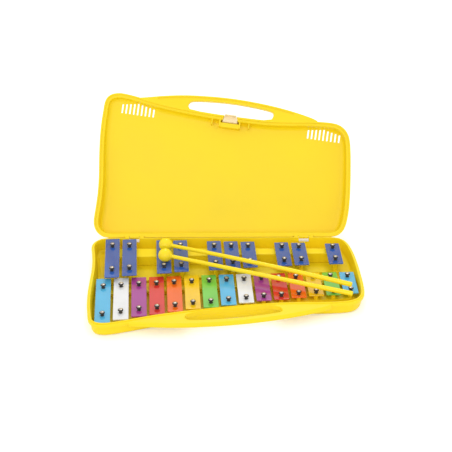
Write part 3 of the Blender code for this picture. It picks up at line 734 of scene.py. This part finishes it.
def make_tray():
    """The tray with its half of the handle, its knuckles and the recess for the latch's hook."""
    tray = mesh_object("case_tray", tray_shell())
    top = RIM_Z - FACE_STEP
    base_z = top - TRAY_HANDLE_THICK * MM
    cut(tray, handle_slab("handle", base_z, TRAY_HANDLE_THICK), "UNION")
    cut(tray, handle_hole("grip", TRAY_HOLE_INSET, base_z, top), "DIFFERENCE")
    cut(tray, barrels("knuckles", tray_knuckles(), KNUCKLE_R), "UNION")
    room = []
    for a, b in lid_knuckles():
        low = (a - KNUCKLE_GAP, HINGE.y - SLOT_FRONT, SLOT_FLOOR_Z)
        high = (b + KNUCKLE_GAP, HINGE.y + SLOT_BACK, RIM_Z + 4 * MM)
        room.append((box("slot", low, high), Matrix()))
    cut(tray, joined("slots", room), "DIFFERENCE")
    cut(tray, hinge_bores(), "DIFFERENCE")
    lip_z = RIM_Z - CATCH_LIP - latch_frame().translation.z
    half = LATCH_HALF * MM + RECESS_GAP
    recess = box("recess", (-half, RECESS_Y[0], lip_z - RECESS_HIGH), (half, RECESS_Y[1], lip_z))
    recess.transform(latch_frame())
    cut(tray, recess, "DIFFERENCE")
    smooth(tray)
    finish_piece(tray, case_plastic, "base", "base_tray")


def vent_slots():
    """The cutter of the two groups of leaning vent slots."""
    meshes = []
    for start, rear, front in VENTS:
        for i in range(VENT_COUNT):
            x = start * MM + i * VENT_STEP
            near = HINGE.y - rear * MM + i * VENT_STEP_REAR
            far = HINGE.y - front * MM + max(0, i - VENT_LEVEL + 1) * VENT_STEP_FRONT
            shift = VENT_LEAN * (near - far) / 2
            half = VENT_WIDTH / 2
            plan = [Vector(p) for p in ((x + shift - half, far), (x + shift + half, far),
                                        (x - shift + half, near), (x - shift - half, near))]
            meshes.append((loft("slot", [(plan, z) for z in VENT_CUT_Z]), Matrix()))
    return joined("vents", meshes)


def make_lid():
    """The lid with its half of the handle, its knuckles, the latch's housing and the vents."""
    lid = mesh_object("case_lid", lid_shell())
    base_z = LID_RIM_Z + FACE_STEP
    top = base_z + LID_HANDLE_THICK * MM
    cut(lid, handle_slab("handle", base_z, LID_HANDLE_THICK), "UNION")
    cut(lid, handle_hole("grip", LID_HOLE_INSET, base_z, top), "DIFFERENCE")
    cut(lid, handle_groove(base_z), "DIFFERENCE")
    cut(lid, lip_room(), "DIFFERENCE")
    cut(lid, barrels("knuckles", lid_knuckles(), KNUCKLE_R), "UNION")
    room = barrels("room", tray_knuckles(), KNUCKLE_R + KNUCKLE_ROOM, KNUCKLE_GAP + ROOM_END)
    cut(lid, room, "DIFFERENCE")
    half = LATCH_HALF + POCKET_GAP
    pocket = across("pocket", POCKET_SECTION, -half, half, LATCH_SPLAY)
    solids = [across("cheek", CHEEK_SECTION, *x) for x in CHEEK_X]
    solids += [across("rib", RIB_SECTION, *x) for x in RIB_X]
    housing = joined("housing", [(solid, Matrix()) for solid in solids])
    back = box("back", *(Vector(corner) * MM for corner in HOUSING_BACK))
    reach = CHEEK_X[1][1] * MM + BORE_PAST_CHEEK
    bore = rod_x("bore", LATCH_BORE_R, -reach, reach, 0, 0)
    steps = ((pocket, "DIFFERENCE"), (housing, "UNION"), (back, "UNION"), (bore, "DIFFERENCE"))
    for mesh, operation in steps:
        mesh.transform(latch_frame())
        cut(lid, mesh, operation)
    cut(lid, vent_slots(), "DIFFERENCE")
    cut(lid, hinge_bores(), "DIFFERENCE")
    smooth(lid)
    lid.data.transform(OPEN_TURN)
    finish_piece(lid, case_plastic, "lid", "lid_shell")


def make_latch():
    """The latch: its hook below, its finger pad above, and the stubs that it turns on."""
    section = [(p.x, p.y) for p in filleted(LATCH_SECTION + LATCH_SECTION[:1], steps=3)[:-1]]
    body = across("latch", section, -LATCH_HALF, LATCH_HALF, LATCH_SPLAY)
    latch = mesh_object("latch_catch", body)
    bevel = latch.modifiers.new("rounded edges", "BEVEL")
    bevel.width = 0.5 * MM
    bevel.segments = 3
    bevel.limit_method = "ANGLE"
    bevel.angle_limit = math.radians(50)
    bake(latch)
    reach = CHEEK_X[1][1] * MM
    cut(latch, rod_x("stubs", LATCH_STUB_R, -reach, reach, 0, 0), "UNION")
    smooth(latch)
    latch.data.transform(OPEN_TURN @ latch_frame())
    finish_piece(latch, latch_plastic, "latch", "latch")


def make_hinge_pins():
    """The two steel pins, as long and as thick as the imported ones."""
    for name in ("hinge_pin_left", "hinge_pin_right"):
        low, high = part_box(name)
        rod = rod_x(name, (high.z - low.z) / 2, low.x, high.x, HINGE.y, HINGE.z)
        pin = mesh_object(name + "_rod", rod)
        smooth(pin)
        finish_piece(pin, hinge_metal, "base", name)


# ---------------------------------------------------------------- bars, rails and pins

def plate(name, corners, low, high):
    """A flat bar with round corners and rolled edges."""
    steps = 4
    outline = []
    for i, here in enumerate(corners):
        back = (corners[i - 1] - here).normalized()
        on = (corners[(i + 1) % len(corners)] - here).normalized()
        for s in range(steps + 1):
            t = s / steps
            outline.append(here + back * BAR_CORNER_R * (1 - t) ** 2 + on * BAR_CORNER_R * t ** 2)
    outline = counter_clockwise(outline)
    arc = rolled(BAR_EDGE_R, (0, 0.4, 0.8, 1.2, math.pi / 2))
    rings = [(inset(outline, r), low + z) for r, z in arc]
    rings += [(inset(outline, r), high - z) for r, z in arc[::-1]]
    return loft(name, rings)


def hole_tool(middle, low, high):
    """A round hole's cutter that flares a little at both faces, and its place."""
    out = BAR_HOLE_FLARE
    wide = BAR_HOLE_R + out
    profile = [(0, high + 3 * MM), (wide, high + 3 * MM), (wide, high),
               (BAR_HOLE_R + out * 0.3, high - out * 0.4), (BAR_HOLE_R, high - out * 1.1),
               (BAR_HOLE_R, low + out * 1.1), (BAR_HOLE_R + out * 0.3, low + out * 0.4),
               (wide, low), (wide, low - 3 * MM), (0, low - 3 * MM)]
    return turned("hole", profile, sides=28), Matrix.Translation((middle.x, middle.y, 0))


def top_points(name):
    """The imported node's points at its top."""
    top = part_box(name)[1].z
    return [v.co.copy() for v in frame["nodes"][name].data.vertices if v.co.z > top - 0.1 * MM]


def bar_corners(name):
    """The bar's corners in plan, in order round it."""
    top = [p.xy for p in top_points(name)]
    return [max(top, key=lambda p: p.y), min(top, key=lambda p: p.x),
            min(top, key=lambda p: p.y), max(top, key=lambda p: p.x)]


def make_bars(pins):
    """The bars, each with a hole round each of its own pins."""
    for name in frame["nodes"]:
        if not name.startswith("bar_"):
            continue
        note = name[4:]
        low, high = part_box(name)
        corners = bar_corners(name)
        middle = sum(corners, Vector((0, 0))) / 4
        rear = (corners[0] + corners[1]) / 2 - middle
        along = rear.normalized()
        mine = []
        for p in pins:
            away = p.xy - middle
            in_length = abs(away.dot(along)) < rear.length
            in_line = abs(away.cross(along)) < PIN_NEAR_LINE
            if abs(p.z - high.z) < PIN_NEAR_TOP and in_length and in_line:
                mine.append(p)
        bar = mesh_object("note_" + note, plate(name, corners, low.z, high.z))
        cut(bar, joined("holes", [hole_tool(p, low.z, high.z) for p in mine]), "DIFFERENCE")
        smooth(bar)
        paint = bar_paint[note[0]] if len(note) == 2 else sharp_paint
        finish_piece(bar, paint, "base", name)


def ribbon(path, ahead, behind):
    """A strip around an open path. Each side's width runs from its first value to its second."""
    sides = [[], []]
    for i, here in enumerate(path):
        t = i / (len(path) - 1)
        line = (path[min(i + 1, len(path) - 1)] - path[max(i - 1, 0)]).normalized()
        normal = Vector((-line.y, line.x))
        sides[0].append(here + normal * between(behind, t))
        sides[1].append(here - normal * between(ahead, t))
    return counter_clockwise(sides[0] + sides[1][::-1])


def pin_points(name):
    """The tops of a rail's pins, from the low notes to the high ones."""
    points = []
    for p in sorted(top_points(name), key=lambda p: p.x):
        if not points or (p - points[-1]).length > PIN_APART:
            points.append(p)
    return points


def make_rail(name, points, under, top, ahead, behind):
    """A rail with its posts, and on them the sleeves and the domed pins."""
    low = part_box(name)[0].z
    path = [p.xy for p in points]
    path.insert(0, path[0] + (path[0] - path[1]).normalized() * RAIL_END)
    path.append(path[-1] + (path[-1] - path[-2]).normalized() * RAIL_END)
    outline = ribbon(path, [w * MM for w in ahead], [w * MM for w in behind])
    section = filleted([(-RAIL_DRAFT, low / MM, 0), (-RAIL_DRAFT / 2, top - 2, 0),
                        (0, top, RAIL_EDGE_R), (3, top, 0)])
    body = loft(name, [(inset(outline, r * MM), z * MM) for r, z in section])
    rail = mesh_object(name + "_moulding", body)
    seat = under * MM - SEAT_GAP
    foot = (top - POST_SINK) * MM
    post = turned("post", [(0, seat), (POST_TOP_R - POST_EDGE, seat), (POST_TOP_R, seat - POST_EDGE),
                           (POST_FOOT_R, foot), (0, foot)], sides=24)
    places = [Matrix.Translation((p.x, p.y, 0)) for p in points]
    cut(rail, joined("posts", [(post, place) for place in places]), "UNION")
    smooth(rail)
    finish_piece(rail, case_plastic, "base", name)

    head = (under + BAR_T) * MM + PIN_RISE
    end = seat + SLEEVE_GAP
    tube = turned("sleeve", [(0, head), (SLEEVE_R - 0.5 * MM, head), (SLEEVE_R, head - 0.4 * MM),
                             (SLEEVE_R, end), (0, end)], sides=24)
    sleeves = mesh_object(name.replace("rail", "sleeves"),
                          joined("sleeves", [(tube, place) for place in places]))
    smooth(sleeves)
    finish_piece(sleeves, sleeve_rubber, "base")

    turns = [i * math.pi / 14 for i in range(8)]
    dome = [(PIN_HEAD_R * math.sin(a), head + PIN_RIM + (PIN_DOME - PIN_RIM) * math.cos(a))
            for a in turns]
    dome += [(PIN_HEAD_R - 0.1 * MM, head + 0.1 * MM), (PIN_HEAD_R - 0.4 * MM, head), (0, head)]
    pin = turned("pin", dome, sides=28)
    pins = mesh_object(name.replace("rail", "pins"),
                       joined("pins", [(pin, place) for place in places]))
    smooth(pins)
    finish_piece(pins, pin_metal, "base")


# ---------------------------------------------------------------- beaters

def ball_profile():
    """A ball with a collar for the stick, and a fine moulding seam round its middle."""
    steps = 40
    mouth = math.asin(COLLAR_R / HEAD_R)
    profile = [(0, COLLAR_TOP), (COLLAR_R - 0.7 * MM, COLLAR_TOP),
               (COLLAR_R - 0.1 * MM, COLLAR_TOP - 0.5 * MM)]
    for i in range(steps):
        a = mouth + (math.pi - mouth) * i / steps
        radius = HEAD_R - SEAM_DEPTH * max(0, 1 - abs(a - math.pi / 2) / SEAM_HALF)
        profile.append((radius * math.sin(a), radius * math.cos(a)))
    return profile + [(0, -HEAD_R)]


def stick_profile(start, end):
    """A stick that swells towards its flat tail, whose edge is rounded."""
    steps = 23
    turns = [math.pi / 2 * i / 6 for i in range(7)]
    profile = [(0, end)]
    profile += [(STICK_R_TAIL - r, end - z) for r, z in rolled(TAIL_EDGE_R, turns)]
    for i in range(1, steps + 1):
        t = i / steps
        z = between((end - STICK_R_TAIL * 1.4, start + STICK_EVEN), t)
        profile.append((between((STICK_R_TAIL, STICK_R_HEAD), t), z))
    return profile + [(STICK_R_HEAD, start), (0, start)]


def make_beater(name, head, tail, bow):
    """A ball and its stick, which bows up between its ends."""
    head = Vector(head) * MM
    line = Vector(tail) * MM - head
    place = Matrix.Translation(head) @ line.to_track_quat("Z", "Y").to_matrix().to_4x4()
    ball = mesh_object(name + "_ball", turned("ball", ball_profile(), sides=56))
    ball.data.transform(place)
    smooth(ball, angle=40)
    end = line.length
    profile = stick_profile(HEAD_R - STICK_IN_HEAD, end)
    stick = mesh_object(name + "_rod", turned("stick", profile, sides=32))
    along = [v.co.z / end for v in stick.data.vertices]
    bows = [max(0, 4 * t * (1 - t)) * bow * MM for t in along]
    stick.data.transform(place)
    for vertex, rise in zip(stick.data.vertices, bows):
        vertex.co.z += rise
    smooth(stick, angle=40)
    finish_piece(ball, beater_plastic, name, name + "_head")
    finish_piece(stick, beater_plastic, name, name + "_stick")


make_tray()
make_lid()
make_latch()
make_hinge_pins()
all_pins = []
for name, under, top, ahead, behind in RAILS:
    points = pin_points(name)
    all_pins += points
    make_rail(name, points, under, top, ahead, behind)
make_bars(all_pins)
for name, (head, tail, bow) in BEATERS.items():
    make_beater(name, head, tail, bow)


# ---------------------------------------------------------------- camera, floor and light

def make_camera():
    """The camera at the photograph's angle. Its numbers were fitted to the bars' corners."""
    data = bpy.data.cameras.new("camera")
    data.sensor_width = 36
    data.lens = 79.65
    data.clip_start = 0.05
    data.clip_end = 20
    camera = bpy.data.objects.new("camera", data)
    bpy.context.scene.collection.objects.link(camera)
    camera.location = (-0.0099, -1.2545, 0.8459)
    camera.rotation_euler = (math.radians(59.71), 0, math.radians(-0.477))
    bpy.context.scene.camera = camera


def area_light(name, place, target, size, power):
    """A rectangular lamp at a place, turned to a target."""
    data = bpy.data.lights.new(name, "AREA")
    data.shape = "RECTANGLE"
    data.size = size[0]
    data.size_y = size[1]
    data.energy = power
    lamp = bpy.data.objects.new(name, data)
    bpy.context.scene.collection.objects.link(lamp)
    lamp.location = place
    lamp.rotation_euler = (Vector(target) - Vector(place)).to_track_quat("-Z", "Y").to_euler()


def seen_ray(tree):
    """1 for what the camera sees, directly, mirrored or through glass, and 0 for other light."""
    path = tree.nodes.new("ShaderNodeLightPath")
    seen = path.outputs["Is Camera Ray"]
    for ray in ("Is Glossy Ray", "Is Transmission Ray"):
        either = tree.nodes.new("ShaderNodeMath")
        either.operation = "MAXIMUM"
        tree.links.new(seen, either.inputs[0])
        tree.links.new(path.outputs[ray], either.inputs[1])
        seen = either.outputs["Value"]
    return seen


def make_world(strength):
    """A white studio that lights with the given strength, and is seen as pure white."""
    world = bpy.data.worlds.new("studio")
    bpy.context.scene.world = world
    world.use_nodes = True
    tree = world.node_tree
    background = tree.nodes["Background"]
    background.inputs["Color"].default_value = (1, 1, 1, 1)
    mix = tree.nodes.new("ShaderNodeMapRange")
    mix.inputs["To Min"].default_value = strength
    mix.inputs["To Max"].default_value = 1.0
    tree.links.new(seen_ray(tree), mix.inputs["Value"])
    tree.links.new(mix.outputs["Result"], background.inputs["Strength"])


def make_floor():
    """A pale floor that keeps the case's soft shadow and is otherwise seen as white."""
    bm = bmesh.new()
    bmesh.ops.create_grid(bm, x_segments=1, y_segments=1, size=8)
    floor = mesh_object("floor", to_mesh("floor", bm))
    floor.location.z = -0.0002
    material = bpy.data.materials.new("pale floor")
    material.use_nodes = True
    shader = material.node_tree.nodes["Principled BSDF"]
    shader.inputs["Base Color"].default_value = (0.93, 0.93, 0.93, 1)
    shader.inputs["Roughness"].default_value = 0.9
    shader.inputs["Specular IOR Level"].default_value = 0.1
    shader.inputs["Emission Color"].default_value = (1, 1, 1, 1)
    tree = material.node_tree
    glow = tree.nodes.new("ShaderNodeMath")
    glow.operation = "MULTIPLY"
    glow.inputs[1].default_value = 0.25
    tree.links.new(seen_ray(tree), glow.inputs[0])
    tree.links.new(glow.outputs["Value"], shader.inputs["Emission Strength"])
    floor.data.materials.append(material)


bpy.context.scene.view_settings.view_transform = "Standard"
make_camera()
make_world(0.95)
make_floor()
area_light("key", (0.1, 1.15, 1.45), (0, 0.05, 0.05), (0.55, 0.45), 5)
area_light("front", (-0.3, -1.7, 1.2), (0, 0.1, 0.05), (1.6, 1.2), 9)
